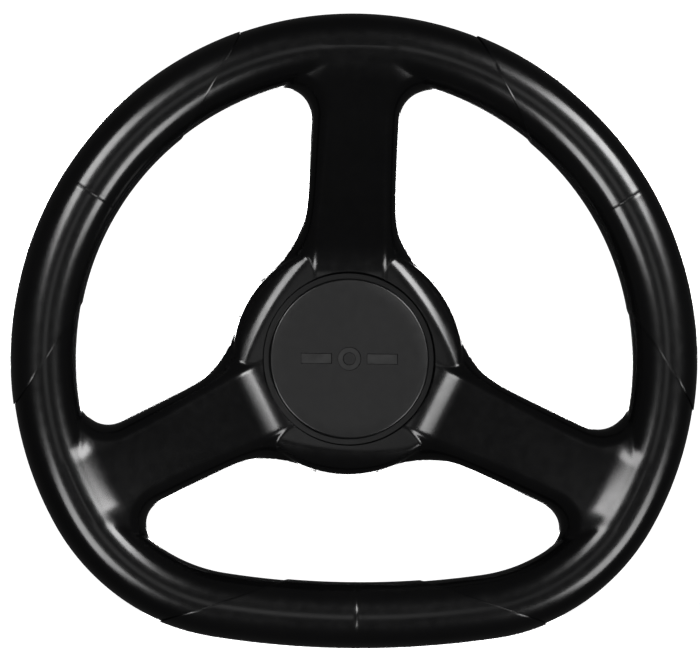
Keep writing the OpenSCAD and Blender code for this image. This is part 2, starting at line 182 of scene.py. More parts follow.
# The cap's recess, the groove round the cap and the plate's cavity behind them
RECESS_F = CAP_FRONT - 3.0
GROOVE = 3.0
RECESS_LIP = 0.35
CAVITY_R = CAP_R + GROOVE - 4.3
BACK_OPENING_R = PLATE_R - 5
PLATE_GAP = 0.15

# The cap's edge, its sunk mark and its snap legs
CAP_EDGE_R = 1.1
CAP_CROWN = 0.05
MARK_DEPTH, MARK_DRAFT = 0.55, 0.25
MARK_RING_R, MARK_RING_HOLE_R = 5.5, 2.8
MARK_BAR_LONG, MARK_BAR_WIDE, MARK_BAR_X = 14.0, 4.4, 15.5
MARK_REACH = 30.0
LEG_W = 6.0
LEG_ANGLES = (60, 180, 300)


def ease(share):
    """A share from 0 to 1 that starts and ends level."""
    return share**2 * (3 - 2 * share)


def smooth_clamp(x, low, high, soft):
    """x kept between low and high, turning smoothly over a length soft."""
    up = 0.5 * (x + low + np.sqrt((x - low) ** 2 + soft**2))
    return 0.5 * (up + high - np.sqrt((up - high) ** 2 + soft**2))


def round_union(a, b, radius):
    """Distance to two solids together, with a hollow of this radius where they meet."""
    hollow = np.hypot(np.maximum(radius - a, 0), np.maximum(radius - b, 0))
    return np.maximum(radius, np.minimum(a, b)) - hollow


def round_intersection(a, b, radius):
    """Distance to what two solids share, with edges of this radius."""
    edge = np.hypot(np.maximum(radius + a, 0), np.maximum(radius + b, 0))
    return np.minimum(-radius, np.maximum(a, b)) + edge


def soft_max(a, b, blend):
    """The larger of two values, rounded where they are nearly equal."""
    near = np.maximum(blend - np.abs(a - b), 0)
    return np.maximum(a, b) + near**2 / (4 * blend)


def rim_offset(x, y):
    """How far a point of the plan lies outside the rim's centre line."""
    side = np.abs(x)
    bottom = (np.arctan2(side, BOTTOM_Y - y) < BOTTOM_HALF) & (y < CORNER_Y)
    round_part = np.arctan2(y, side) > -CORNER_START
    corner = np.hypot(side - CORNER_X, y - CORNER_Y) - CORNER_R
    rest = np.where(round_part, np.hypot(x, y) - RIM_R, corner)
    return np.where(bottom, np.hypot(x, y - BOTTOM_Y) - BOTTOM_R, rest)


def section_distance(out, height, radius):
    """Distance to the tube's section: a circle with a flatter front, whose crest leans outward."""
    lean = out - CREST_SHIFT * (height / radius) ** 2
    circle = np.hypot(lean, height) - radius
    front = np.hypot(lean, height - radius + CREST_DROP + CREST_R) - CREST_R
    return soft_max(circle, front, CREST_BLEND)


def tube_distance(x, y, f):
    """Distance to the moulded tube."""
    return section_distance(rim_offset(x, y), f - RIM_F, TUBE_R)


def plain_half(a):
    """Half of a spoke's width at a distance from the axis, without the hub's fillet."""
    return SPOKE_W / 2 + SPOKE_TAPER / 2 * np.maximum(0, TAPER_END - a)


ROOT_HALF = float(plain_half(ROOT_FROM))
FILLET_A = math.sqrt((HUB_R + HUB_FILLET) ** 2 - (ROOT_HALF + HUB_FILLET) ** 2)


def root_half(a):
    """Half of a spoke's width at its back, with the hub's fillet."""
    inward = np.clip(FILLET_A - a, 0, HUB_FILLET * 0.98)
    return np.maximum(plain_half(a), ROOT_HALF + HUB_FILLET - np.sqrt(HUB_FILLET**2 - inward**2))


def climb(length, radius):
    """Height gained along a line that starts level and bends up to a spoke's slope."""
    bend = np.clip(length, 0, SPOKE_SLOPE * radius)
    return bend**2 / (2 * radius) + SPOKE_SLOPE * (np.maximum(length, 0) - bend)


def spoke_front(a, x, y):
    """Front of a spoke: level at the hub's ring, a straight slope, level again at the rim's crest."""
    share = np.clip((a - FOLLOW_START) / FOLLOW_LENGTH, 0, 1)
    reach = a + (RIM_R + rim_offset(x, y) - a) * ease(share)
    inner = HUB_FRONT + climb(reach - RISE_A, RISE_R)
    outer = CREST_F - climb(CREST_A - reach, SPOKE_BEND_R)
    return np.where(reach < (RISE_A + CREST_A) / 2, inner, outer)


def spoke_distance(x, y, f, angle):
    """Distance to one spoke: a slab with round edges that rises from the hub to the rim."""
    a = x * math.cos(angle) + y * math.sin(angle)
    w = np.abs(y * math.cos(angle) - x * math.sin(angle))
    back_rise = smooth_clamp((DISH_OUTER - a) / (DISH_OUTER - DISH_INNER), 0, 1, DISH_SOFT)
    thick = ROOT_T + (TIP_T - ROOT_T) * np.clip((a - HUB_R) / (RIM_R - HUB_R), 0, 1)
    back = RIM_F - DISH * back_rise - thick / 2
    fade = FADE_DEPTH * (np.maximum(w - FADE_START, 0) / FADE_LENGTH) ** 2
    fade = fade * np.clip((a - FADE_INNER) / FADE_RAMP, 0, 1)
    front = spoke_front(a, x, y) - fade
    back = back + fade / 2
    share = np.clip(2 * (f - back) / np.maximum(front - back, 1) - 0.9, 0, 1)
    half = root_half(a) * (1 - share) + plain_half(a) * share
    offset = rim_offset(x, y)
    across = round_union((w - half) * SIDE_SHARE, -offset - TUBE_R, RIM_FILLET)
    faces = ((back - f) * BACK_SHARE, (f - front) * FRONT_SHARE)
    through = round_intersection(*faces, SPOKE_BACK_EDGE_R)
    slab = round_intersection(across, through, SPOKE_EDGE_R)
    ends = np.maximum(RISE_A - 2 - a, offset)
    return np.maximum(slab, np.maximum(ends, w - SPOKE_HALF_LIMIT))


def hub_drop(x, y):
    """How far the hub's front lies behind its ring, falling away past each open side's ridge."""
    drop = np.zeros(len(x))
    for angle in SPOKE_ANGLES:
        gap = angle + math.radians(60)
        outward = np.hypot(x + LONG_SIDE_BACK * math.cos(gap), y + LONG_SIDE_BACK * math.sin(gap))
        bend = np.maximum(0, outward - LONG_SIDE_R + RIDGE_BACK)
        drop = soft_max(drop, bend**2 / (2 * RIDGE_R), RIDGE_BLEND)
    return drop


def hub_distance(x, y, f):
    """Distance to the hub: a level ring that falls away towards its outline between the spokes."""
    solid = round_intersection(np.hypot(x, y) - HUB_R, HUB_BACK - f, HUB_EDGE_R)
    drop = hub_drop(x, y)
    steep = np.sqrt(2 * drop / RIDGE_R)
    return soft_max(solid, (f - HUB_FRONT + drop) / np.hypot(1, steep), HUB_BLEND)


def moulding_distance(points):
    """Distance to the whole moulding before anything is cut from it."""
    x, y, f = points[:, 0], points[:, 1], points[:, 2]
    arms = tube_distance(x, y, f)
    for angle in SPOKE_ANGLES:
        arms = round_union(arms, spoke_distance(x, y, f, angle), ARM_FILLET)
    return np.minimum(hub_distance(x, y, f), arms)


# ---- Meshes ----


def to_row(points):
    """Points of the wheel's frame, in millimetres, as points of the row frame, in metres."""
    points = np.asarray(points, float).reshape(-1, 3)
    return np.column_stack([points[:, 0], -points[:, 2], points[:, 1]]) * 0.001


def mesh_object(name, points, faces, smooth_angle=32):
    """A new object from points in the wheel's frame, smooth but for edges sharper than an angle."""
    mesh = bpy.data.meshes.new(name)
    mesh.from_pydata(to_row(points).tolist(), [], [list(map(int, face)) for face in faces])
    mesh.update()
    made = bpy.data.objects.new(name, mesh)
    bpy.context.scene.collection.objects.link(made)
    finish_mesh(made, smooth_angle)
    return made


def finish_mesh(piece, smooth_angle=32):
    """Turns a closed mesh's faces outward and sets which edges stay sharp."""
    work = bmesh.new()
    work.from_mesh(piece.data)
    bmesh.ops.recalc_face_normals(work, faces=work.faces)
    if work.calc_volume(signed=True) < 0:
        bmesh.ops.reverse_faces(work, faces=work.faces)
    work.to_mesh(piece.data)
    work.free()
    piece.data.shade_smooth()
    piece.data.set_sharp_from_angle(angle=math.radians(smooth_angle))


# A block of points whose middle lies further from the skin than this many block lengths is skipped
BLOCK_REACH = 1.25


def surface_net(distance, low, high, step):
    """Points and square faces of the skin where a distance function is 0."""
    axes = [np.arange(a, b + step, step) for a, b in zip(low, high)]
    shape = tuple(len(axis) for axis in axes)
    block = 4
    coarse = [axis[::block] for axis in axes]
    grid = np.stack(np.meshgrid(*coarse, indexing="ij"), -1).reshape(-1, 3)
    rough_values = distance(grid + step * block / 2)
    near = np.abs(rough_values) < step * block * BLOCK_REACH
    sign = np.where(rough_values < 0, -2.0 * step, 2.0 * step)
    rough = [len(axis) for axis in coarse]
    near = near.reshape(rough)
    sign = sign.reshape(rough)
    for axis in range(3):
        near = np.repeat(near, block, axis)
        sign = np.repeat(sign, block, axis)
    near = near[: shape[0], : shape[1], : shape[2]]
    values = sign[: shape[0], : shape[1], : shape[2]].copy()
    where = np.argwhere(near)
    points = np.column_stack([axes[k][where[:, k]] for k in range(3)])
    values[near] = distance(points)
    inside = values < 0

    corners = sum(
        inside[i : shape[0] - 1 + i, j : shape[1] - 1 + j, k : shape[2] - 1 + k].astype(int)
        for i in (0, 1)
        for j in (0, 1)
        for k in (0, 1)
    )
    crossed = (corners > 0) & (corners < 8)
    number = np.full(crossed.shape, -1)
    cells = np.argwhere(crossed)
    number[crossed] = np.arange(len(cells))
    points = np.column_stack([axes[k][cells[:, k]] + step / 2 for k in range(3)])

    faces = []
    for axis in range(3):
        one, two = [k for k in range(3) if k != axis]
        lower = np.take(inside, range(shape[axis] - 1), axis)
        upper = np.take(inside, range(1, shape[axis]), axis)
        edges = np.argwhere(lower != upper)
        edges = edges[(edges[:, one] > 0) & (edges[:, two] > 0)]
        edges = edges[(edges[:, one] < shape[one] - 1) & (edges[:, two] < shape[two] - 1)]
        ring = []
        for back_one, back_two in ((0, 0), (1, 0), (1, 1), (0, 1)):
            cell = edges.copy()
            cell[:, one] -= back_one
            cell[:, two] -= back_two
            ring.append(number[cell[:, 0], cell[:, 1], cell[:, 2]])
        ring = np.column_stack(ring)
        faces.append(ring)
    return points, np.concatenate(faces)


# Settling a skin: step for slopes, least squared slope, longest move, and the pull of the neighbours
NUDGE = 0.05
SLOPE2_LEAST = 0.05
MOVE_LIMIT = 0.6
PULL = 0.6


def gradient(distance, points):
    """Slope of a distance function at each point."""
    slope = np.zeros_like(points)
    for axis in range(3):
        shift = np.zeros(3)
        shift[axis] = NUDGE
        slope[:, axis] = (distance(points + shift) - distance(points - shift)) / (2 * NUDGE)
    return slope


def settle(distance, points, faces, rounds=3):
    """Evens out the points of a skin and moves each onto the surface."""
    for turn in range(rounds + 1):
        if turn < rounds:
            total = np.zeros_like(points)
            count = np.zeros(len(points))
            for k in range(4):
                here, there = faces[:, k], faces[:, (k + 1) % 4]
                np.add.at(total, here, points[there])
                np.add.at(total, there, points[here])
                np.add.at(count, here, 1)
                np.add.at(count, there, 1)
            points = (1 - PULL) * points + PULL * total / count[:, None]
        for _ in range(2):
            slope = gradient(distance, points)
            length2 = np.maximum((slope**2).sum(1), SLOPE2_LEAST)
            move = (distance(points) / length2)[:, None] * slope
            size = np.linalg.norm(move, axis=1)[:, None]
            points = points - move * np.minimum(1, MOVE_LIMIT / np.maximum(size, 1e-9))
    return points


def wall_faces(rows, around, closed=False):
    """Square faces between rings of points; closed also joins the last ring to the first."""
    faces = []
    for i in range(rows if closed else rows - 1):
        j = (i + 1) % rows
        for k in range(around):
            m = (k + 1) % around
            faces.append((i * around + k, i * around + m, j * around + m, j * around + k))
    return faces


def end_faces(rows, around):
    """One face over the first ring of points and one over the last."""
    last = (rows - 1) * around
    return [tuple(range(around)), tuple(range(last, last + around))]


def lathe(name, profile, around=96, closed=True):
    """A solid turned round the steering axis from (radius, f) corners; closed makes it a ring."""
    turn = np.arange(around) * 2 * math.pi / around
    points = [(r * math.cos(t), r * math.sin(t), f) for r, f in profile for t in turn]
    faces = wall_faces(len(profile), around, closed)
    if not closed:
        faces += end_faces(len(profile), around)
    return mesh_object(name, points, faces)


def prism(name, plan, low, high):
    """A straight-sided solid over a plan, from f = low to f = high."""
    count = len(plan)
    points = [(x, y, low) for x, y in plan] + [(x, y, high) for x, y in plan]
    return mesh_object(name, points, end_faces(2, count) + wall_faces(2, count))


# Edges sharper than this, in degrees, stay sharp on a piece that has been cut
CUT_SMOOTH_ANGLE = 24


def cut(piece, tools):
    """Takes the tools' solids out of a piece and removes the tools."""
    for tool in tools:
        step = piece.modifiers.new("cut", "BOOLEAN")
        step.operation = "DIFFERENCE"
        step.solver = "MANIFOLD"
        step.object = tool
    bpy.context.view_layer.update()
    evaluated = piece.evaluated_get(bpy.context.evaluated_depsgraph_get())
    result = bpy.data.meshes.new_from_object(evaluated)
    piece.modifiers.clear()
    old = piece.data
    piece.data = result
    bpy.data.meshes.remove(old)
    for tool in tools:
        mesh = tool.data
        bpy.data.objects.remove(tool)
        bpy.data.meshes.remove(mesh)
    finish_mesh(piece, CUT_SMOOTH_ANGLE)


# ---- Places along the rim ----


def path_centre(turn):
    """Centre and radius of the arc on which the rim's outward normal has this direction."""
    turn = np.asarray(turn, float)
    spread = np.abs(np.mod(turn + math.pi / 2 + math.pi, 2 * math.pi) - math.pi)
    corner = spread < math.pi / 2 - CORNER_START
    bottom = spread < BOTTOM_HALF
    side = np.where(np.cos(turn) > 0, 1.0, -1.0)
    x = np.where(bottom, 0, np.where(corner, side * CORNER_X, 0))
    y = np.where(bottom, BOTTOM_Y, np.where(corner, CORNER_Y, 0))
    radius = np.where(bottom, BOTTOM_R, np.where(corner, CORNER_R, RIM_R))
    return x, y, radius


def rim_point(turn, out, height):
    """Point beside the rim's centre line, which has the outward direction turn there."""
    x, y, radius = path_centre(turn)
    reach = radius + out
    f = RIM_F + height + 0 * turn
    return np.stack([x + reach * np.cos(turn), y + reach * np.sin(turn), f], -1)


def seam_at(turn, side):
    """Corner and inward normal of a slanted seam; side is 1 where the grip lies anticlockwise."""
    corner = rim_point(np.array(turn), GRIP_R, 0)[:2]
    normal = turn + side * (math.pi / 2 - SEAM_SLANT)
    return corner, np.array([math.cos(normal), math.sin(normal)])


# Rounds of halving that find a place on a line
HALVINGS = 40


def seam_turn(turn, side, out):
    """Direction at which the line at each distance out from the centre line meets the seam."""
    corner, normal = seam_at(turn, side)
    low = np.full(np.shape(out), turn - SEAM_SEARCH)
    high = np.full(np.shape(out), turn + SEAM_SEARCH)
    for _ in range(HALVINGS):
        middle = (low + high) / 2
        point = rim_point(middle, out, 0)[..., :2]
        beyond = ((point - corner) @ normal) * side > 0
        high = np.where(beyond, middle, high)
        low = np.where(beyond, low, middle)
    return (low + high) / 2


GRIPS = {
    "right_grip": (SIDE_ANGLE - SIDE_HALF, SIDE_ANGLE + SIDE_HALF),
    "left_grip": (math.pi - SIDE_ANGLE - SIDE_HALF, math.pi - SIDE_ANGLE + SIDE_HALF),
    "bottom_grip": (-math.pi / 2 - BOTTOM_SEAM, -math.pi / 2 + BOTTOM_SEAM),
}


def seam_prism(name, first, last):
    """The room that a grip takes: everything between its two seams, a little wider."""
    plan = []
    for turn, side, order in ((first, 1, (70, -30)), (last, -1, (-30, 70))):
        corner, normal = seam_at(turn, side)
        along = np.array([-normal[1], normal[0]]) * side
        for inward in order:
            plan.append(corner + along * inward - normal * SEAM_GAP)
        if side == 1:
            far = 2 * RIM_R
            plan.append(np.array([math.cos(first), math.sin(first)]) * far)
            plan.append(np.array([math.cos(last), math.sin(last)]) * far)
    return prism(name, plan, RIM_F - 2 * GRIP_R, RIM_F + 2 * GRIP_R)


def section_radius(angles, radius):
    """Distance from the tube's centre line to its skin in each direction across the tube."""
    low = np.full(len(angles), radius * 0.5)
    high = np.full(len(angles), radius * 1.2)
    for _ in range(HALVINGS):
        middle = (low + high) / 2
        outside = section_distance(middle * np.cos(angles), middle * np.sin(angles), radius) > 0
        high = np.where(outside, middle, high)
        low = np.where(outside, low, middle)
    return (low + high) / 2


def grip(name, first, last):
    """One grip: a thick-walled tube round the hoop, with rounded lips at both slanted seams."""
    around = 96
    across = np.arange(around) * 2 * math.pi / around
    skin = section_radius(across, GRIP_R)
    bore = np.full(around, HOOP_R + BORE_GAP)
    lip_turns = np.radians([0, 20, 45, 70, 90])
    lip_rows = [(GRIP_LIP * (1 - math.cos(t)), GRIP_LIP * (1 - math.sin(t))) for t in lip_turns]

    table = np.linspace(first - SEAM_SEARCH, last + SEAM_SEARCH, 6000)
    _, _, radii = path_centre((table[1:] + table[:-1]) / 2)
    length = np.concatenate([[0], np.cumsum(np.diff(table) * radii)])

    def ring(reach, turns):
        return rim_point(turns, reach * np.cos(across), 0) + np.stack(
            [0 * across, 0 * across, reach * np.sin(across)], -1
        )

    def row(reach, start, end, share, from_start, from_end):
        """One ring of points, at a share of the way between two distances from the seams."""
        low = np.interp(start, table, length) + from_start
        high = np.interp(end, table, length) - from_end
        return ring(reach, np.interp(low + (high - low) * share, length, table))

    def ends(reach):
        out = reach * np.cos(across)
        return seam_turn(first, 1, out), seam_turn(last, -1, out)

    start, end = ends(skin)
    middle_length = float(np.interp(last, table, length) - np.interp(first, table, length))
    count = int(middle_length / RING_STEP)
    rows = []
    for along, inward in lip_rows:
        edge_start, edge_end = ends(skin - inward)
        rows.append(row(skin - inward, edge_start, edge_end, 0.0, along, 0))
    shares = list(np.linspace(0, 1, count + 1)[1:-1])
    shares = [s for s in shares if abs(s - 0.5) * middle_length > WITNESS_CLEAR]
    shares += [0.5] + [0.5 + side * w / middle_length for w in WITNESS_ROWS for side in (-1, 1)]
    for share in sorted(shares):
        apart = abs(share - 0.5) * middle_length
        line = WITNESS_DEPTH * math.exp(-((apart / WITNESS_WIDTH) ** 2))
        swell = WITNESS_SWELL * math.exp(-((apart / WITNESS_SPREAD) ** 2))
        rows.append(row(skin - line + swell, start, end, share, GRIP_LIP, GRIP_LIP))
    for along, inward in reversed(lip_rows):
        edge_start, edge_end = ends(skin - inward)
        rows.append(row(skin - inward, edge_start, edge_end, 1.0, 0, along))
    start, end = ends(bore)
    for share in np.linspace(1, 0, 40):
        rows.append(row(bore, start, end, share, 0, 0))

    return mesh_object(name, np.concatenate(rows), wall_faces(len(rows), around, closed=True))


def build_moulding():
    """The moulded body: hub, spokes and what shows of the tube between the grips."""
    step = 1.0
    margin = 18
    low = (-RIM_R - margin, -BOTTOM_DROP - margin, HUB_BACK - 3)
    high = (RIM_R + margin, RIM_R + margin, RIM_F + margin)
    points, faces = surface_net(moulding_distance, low, high, step)
    points = settle(moulding_distance, points, faces)
    body = mesh_object("moulded_body", points, faces, CUT_SMOOTH_ANGLE)
    lip = RECESS_LIP
    recess_r = CAP_R + GROOVE
    cavity = lathe(
        "cavity_tool",
        [
            (BACK_OPENING_R + 1.4, HUB_BACK - 2),
            (BACK_OPENING_R + 0.6, HUB_BACK + 0.2),
            (BACK_OPENING_R, HUB_BACK + 0.9),
            (BACK_OPENING_R, PLATE_BACK - PLATE_GAP),
            (PLATE_R + 2 * PLATE_GAP, PLATE_BACK - PLATE_GAP),
            (PLATE_R + 2 * PLATE_GAP, PLATE_FRONT + PLATE_GAP),
            (CAVITY_R, PLATE_FRONT + PLATE_GAP),
            (CAVITY_R, RECESS_F),
            (recess_r - 0.6, RECESS_F),
            (recess_r, RECESS_F + 0.6),
            (recess_r, HUB_FRONT - lip),
            (recess_r + lip * 0.3, HUB_FRONT - lip * 0.3),
            (recess_r + lip, HUB_FRONT + 0.05),
            (recess_r + lip + 0.3, HUB_FRONT + 2),
        ],
        around=192,
        closed=False,
    )
    tools = [cavity] + [seam_prism(name + "_tool", *ends) for name, ends in GRIPS.items()]
    cut(body, tools)
    return body


def join(name, pieces):
    """One object from several, with their points and faces together."""
    first = pieces[0]
    with bpy.context.temp_override(active_object=first, selected_editable_objects=pieces):
        bpy.ops.object.join()
    first.name = name
    return first


def build_cap_disc():
    """The cap's round disc, with a soft edge and a slightly crowned face."""
    steps = 6
    centre_r, centre_f = CAP_R - CAP_EDGE_R, CAP_FRONT - CAP_EDGE_R
    profile = [(CAP_R - 0.5, RECESS_F), (CAP_R, RECESS_F + 0.5)]
    for i in range(steps + 1):
        t = math.radians(90 * i / steps)
        profile.append((centre_r + CAP_EDGE_R * math.cos(t), centre_f + CAP_EDGE_R * math.sin(t)))
    for r in (30.0, 22.0, 14.0, 6.0):
        profile.append((r, CAP_FRONT + CAP_CROWN * (1 - (r / CAP_R) ** 2)))
    return lathe("center_cap_skin", profile, around=192, closed=False)


def mark_tools():
    """Tools that sink the plain mark: a ring between two bars, with drafted sides."""
    top, floor = CAP_FRONT + 1, CAP_FRONT - MARK_DEPTH
    ring_profile = [
        (MARK_RING_R - MARK_DRAFT, floor),
        (MARK_RING_R, CAP_FRONT),
        (MARK_RING_R + MARK_DRAFT, top),
        (MARK_RING_HOLE_R - MARK_DRAFT, top),
        (MARK_RING_HOLE_R, CAP_FRONT),
        (MARK_RING_HOLE_R + MARK_DRAFT, floor),
    ]
    tools = [lathe("ring_tool", ring_profile)]
    corners = [(-1, -1), (1, -1), (1, 1), (-1, 1)]
    levels = ((0, floor), (MARK_DRAFT, CAP_FRONT), (2 * MARK_DRAFT, top))
    for side in (-1, 1):
        points = []
        for grow, f in levels:
            half_long, half_wide = MARK_BAR_LONG / 2 + grow, MARK_BAR_WIDE / 2 + grow
            points += [(side * MARK_BAR_X + i * half_long, j * half_wide, f) for i, j in corners]
        rows, around = len(levels), len(corners)
        tools.append(mesh_object("bar_tool", points, end_faces(rows, around) + wall_faces(rows, around)))
    return tools


def build_leg(degrees):
    """A snap leg: it passes through the plate and hooks outward behind it."""
    turn = math.radians(degrees)
    out = np.array([math.cos(turn), math.sin(turn)])
    beside = np.array([-out[1], out[0]])
    top = RECESS_F + 0.3
    side_view = [
        (34.2, top),
        (34.2, PLATE_BACK - 1.8),
        (36.0, PLATE_BACK - 1.8),
        (37.0, PLATE_BACK - 0.9),
        (37.0, PLATE_BACK - 0.2),
        (35.8, PLATE_BACK - 0.2),
        (35.8, top),
    ]
    points = [(*(out * r + beside * w), f) for w in (-LEG_W / 2, LEG_W / 2) for r, f in side_view]
    count = len(side_view)
    return mesh_object("leg", points, end_faces(2, count) + wall_faces(2, count))


def build_cap():
    """The round cap, with its sunk mark and its snap legs."""
    cap = build_cap_disc()
    cut(cap, mark_tools())
    return join("center_cap_skin", [cap] + [build_leg(degrees) for degrees in LEG_ANGLES])


# ---- Quick release ----

# Lengths z are counted from the socket's mouth, which lies at this f
MOUTH = -19.0
NECK_R = 21.0
NECK_LEN = 37.4
FLANGE_R, FLANGE_T = 33.0, 6.0
COLLAR_Z = 5.1
COLLAR_LEN = 24.0
COLLAR_R, COLLAR_BODY_R = 31.0, 28.0
COLLAR_FLANGE_T = 7.0
COLLAR_BORE_R = 21.06
GRIP_GROOVES, GROOVE_PITCH, GROOVE_DEPTH = 4, 2.6, 0.55
SCALLOPS, SCALLOP_R, SCALLOP_OUT = 12, 6.0, 35.4
SPRING_Z, SPRING_LEN = 20.2, 16.0
SPRING_R, WIRE_R = 22.9, 0.8
BALLS, BALL_Z, BALL_START = 6, 13.0, 30
POCKET_R, POCKET_OUT = 4.1, 16.2
SCREW_ANGLES, SCREW_OUT, SCREW_HOLE_R = (30, 150, 270), 29.0, 3.0
CLIP_START, CLIP_END = 1.5, 3.1
CLIP_GROOVE_R = 19.8
SPIGOT_R, SPIGOT_LEN = 22.0, 3.0
SLEEVE_R, SLEEVE_START = 17.0, 31.0
SEAT_BORE, SEAT_R, SEAT_T = 21.15, 24.3, 1.2
WASHER_BORE, WASHER_R = 21.1, 26.5
PLATE_Z = NECK_LEN + FLANGE_T


def rounded(corners, steps=4):
    """A closed profile whose corners (radius, z from the mouth, edge radius) are rounded."""
    profile = []
    count = len(corners)
    for i, (r, z, edge) in enumerate(corners):
        here = np.array([r, z + MOUTH])
        if edge == 0:
            profile.append(tuple(here))
            continue
        ways = []
        for other in (corners[i - 1], corners[(i + 1) % count]):
            way = np.array([other[0], other[1] + MOUTH]) - here
            ways.append(way / np.linalg.norm(way))
        half = math.acos(float(np.clip(ways[0] @ ways[1], -1, 1))) / 2
        start = here + ways[0] * edge / math.tan(half)
        end = here + ways[1] * edge / math.tan(half)
        inward = ways[0] + ways[1]
        middle = here + inward / np.linalg.norm(inward) * edge / math.sin(half)
        for k in range(steps + 1):
            spoke = (start - middle) * (1 - k / steps) + (end - middle) * (k / steps)
            profile.append(tuple(middle + spoke / np.linalg.norm(spoke) * edge))
    return profile


def turned_tool(name, profile, around, spin, out, f, sideways=False):
    """A turned cutting tool at an angle, a radius and an f; sideways points its axis outward."""
    turn = np.arange(around) * 2 * math.pi / around
    rings = [
        np.column_stack([r * np.cos(turn), r * np.sin(turn), np.full(around, along)])
        for r, along in profile
    ]
    points = np.concatenate(rings)
    if sideways:
        points = points[:, [2, 0, 1]]
    points[:, 0] += out
    points[:, 2] += f
    c, s = math.cos(spin), math.sin(spin)
    x, y, along = points.T
    points = np.column_stack([x * c - y * s, x * s + y * c, along])
    rows = len(profile)
    return mesh_object(name, points, end_faces(rows, around) + wall_faces(rows, around))


def build_release_hub():
    """Neck, flange and spigot in one piece, with clip groove, bores, ball pockets and screw holes."""
    spigot_end = PLATE_Z + SPIGOT_LEN
    profile = rounded(
        [
            (16.55, 0.0, 0.2),
            (NECK_R, 0.0, 0.5),
            (NECK_R, CLIP_START, 0.1),
            (CLIP_GROOVE_R, CLIP_START, 0.0),
            (CLIP_GROOVE_R, CLIP_END, 0.0),
            (NECK_R, CLIP_END, 0.1),
            (NECK_R, NECK_LEN, 0.6),
            (FLANGE_R, NECK_LEN, 0.8),
            (FLANGE_R, PLATE_Z, 0.5),
            (SPIGOT_R, PLATE_Z, 0.3),
            (SPIGOT_R, spigot_end, 0.5),
            (SLEEVE_R, spigot_end, 0.3),
            (SLEEVE_R, SLEEVE_START, 0.0),
            (15.05, SLEEVE_START, 0.3),
            (15.05, 19.0, 0.3),
            (15.75, 19.0, 0.0),
            (15.75, 5.6, 0.1),
            (17.45, 5.6, 0.0),
            (17.45, 3.0, 0.0),
            (15.75, 3.0, 0.1),
            (15.75, 0.8, 0.1),
        ]
    )
    hub = lathe("release_hub_skin", profile, around=160)
    pocket = [(POCKET_R, 1.0), (POCKET_R, 6.0)]
    hole = [
        (SCREW_HOLE_R + 0.9, -1.0),
        (SCREW_HOLE_R, 0.5),
        (SCREW_HOLE_R, FLANGE_T - 0.5),
        (SCREW_HOLE_R + 0.9, FLANGE_T + 1.0),
    ]
    tools = []
    for i in range(BALLS):
        spin = math.radians(BALL_START + 60 * i)
        f = BALL_Z + MOUTH
        tools.append(turned_tool("pocket_tool", pocket, 32, spin, POCKET_OUT, f, sideways=True))
    for degrees in SCREW_ANGLES:
        spin = math.radians(degrees)
        tools.append(turned_tool("screw_tool", hole, 32, spin, SCREW_OUT, NECK_LEN + MOUTH))
    cut(hub, tools)
    return hub


def build_collar():
    """The sliding collar: finger flange with scallops, a grooved band and the spring's bore."""
    front = COLLAR_Z + COLLAR_LEN
    flange_top = COLLAR_Z + COLLAR_FLANGE_T
    grooves = []
    for i in range(GRIP_GROOVES):
        z = flange_top + 3.2 + GROOVE_PITCH * i
        grooves += [
            (COLLAR_BODY_R, z, 0.2),
            (COLLAR_BODY_R - GROOVE_DEPTH, z + 0.5, 0.15),
            (COLLAR_BODY_R - GROOVE_DEPTH, z + 1.0, 0.15),
            (COLLAR_BODY_R, z + 1.5, 0.2),
        ]
    profile = rounded(
        [
            (23.4, COLLAR_Z, 0.3),
            (COLLAR_R, COLLAR_Z, 1.0),
            (COLLAR_R, flange_top, 1.2),
            (COLLAR_BODY_R, flange_top, 0.8),
            *grooves,
            (COLLAR_BODY_R, front, 1.0),
            (24.6, front, 0.4),
            (24.6, SPRING_Z, 0.4),
            (COLLAR_BORE_R, SPRING_Z, 0.3),
            (COLLAR_BORE_R, BALL_Z + 1.8, 0.0),
        ]
    )
    collar = lathe("lock_collar_skin", profile, around=240)
    bite = [
        (SCALLOP_R + 1.2, -1.2),
        (SCALLOP_R, 0.6),
        (SCALLOP_R, COLLAR_FLANGE_T - 0.2),
        (SCALLOP_R, COLLAR_FLANGE_T),
    ]
    tools = []
    for i in range(SCALLOPS):
        spin = math.radians(30 * i)
        tools.append(turned_tool("scallop_tool", bite, 64, spin, SCALLOP_OUT, COLLAR_Z + MOUTH))
    cut(collar, tools)
    return collar


def build_spring():
    """Coil spring between the collar and its seat, with its end turns lying nearly flat."""
    turns = 4.5
    around, a_turn = 14, 48
    steps = int(turns * a_turn)
    share = np.arange(steps + 1) / steps
    flat = 0.09
    pitch_share = np.clip((share - flat) / (1 - 2 * flat), 0, 1)
    rise = ease(pitch_share) * 0.25 + pitch_share * 0.75
    middle = SPRING_Z + MOUTH + WIRE_R + rise * (SPRING_LEN - 2 * WIRE_R)
    turn = share * turns * 2 * math.pi
    points = []
    for t, f in zip(turn, middle):
        for k in range(around):
            c = math.cos(2 * math.pi * k / around)
            s = math.sin(2 * math.pi * k / around)
            reach = SPRING_R + WIRE_R * c
            points.append((reach * math.cos(t), reach * math.sin(t), f + WIRE_R * s))
    faces = end_faces(steps + 1, around) + wall_faces(steps + 1, around)
    return mesh_object("collar_spring_coil", points, faces, smooth_angle=50)


def build_ring(name, inner, outer, low, high, edge):
    """A flat turned ring with rounded edges."""
    corners = [(inner, low, edge), (outer, low, edge), (outer, high, edge), (inner, high, edge)]
    return lathe(name, rounded(corners, 3), around=128)


# ---- Materials ----


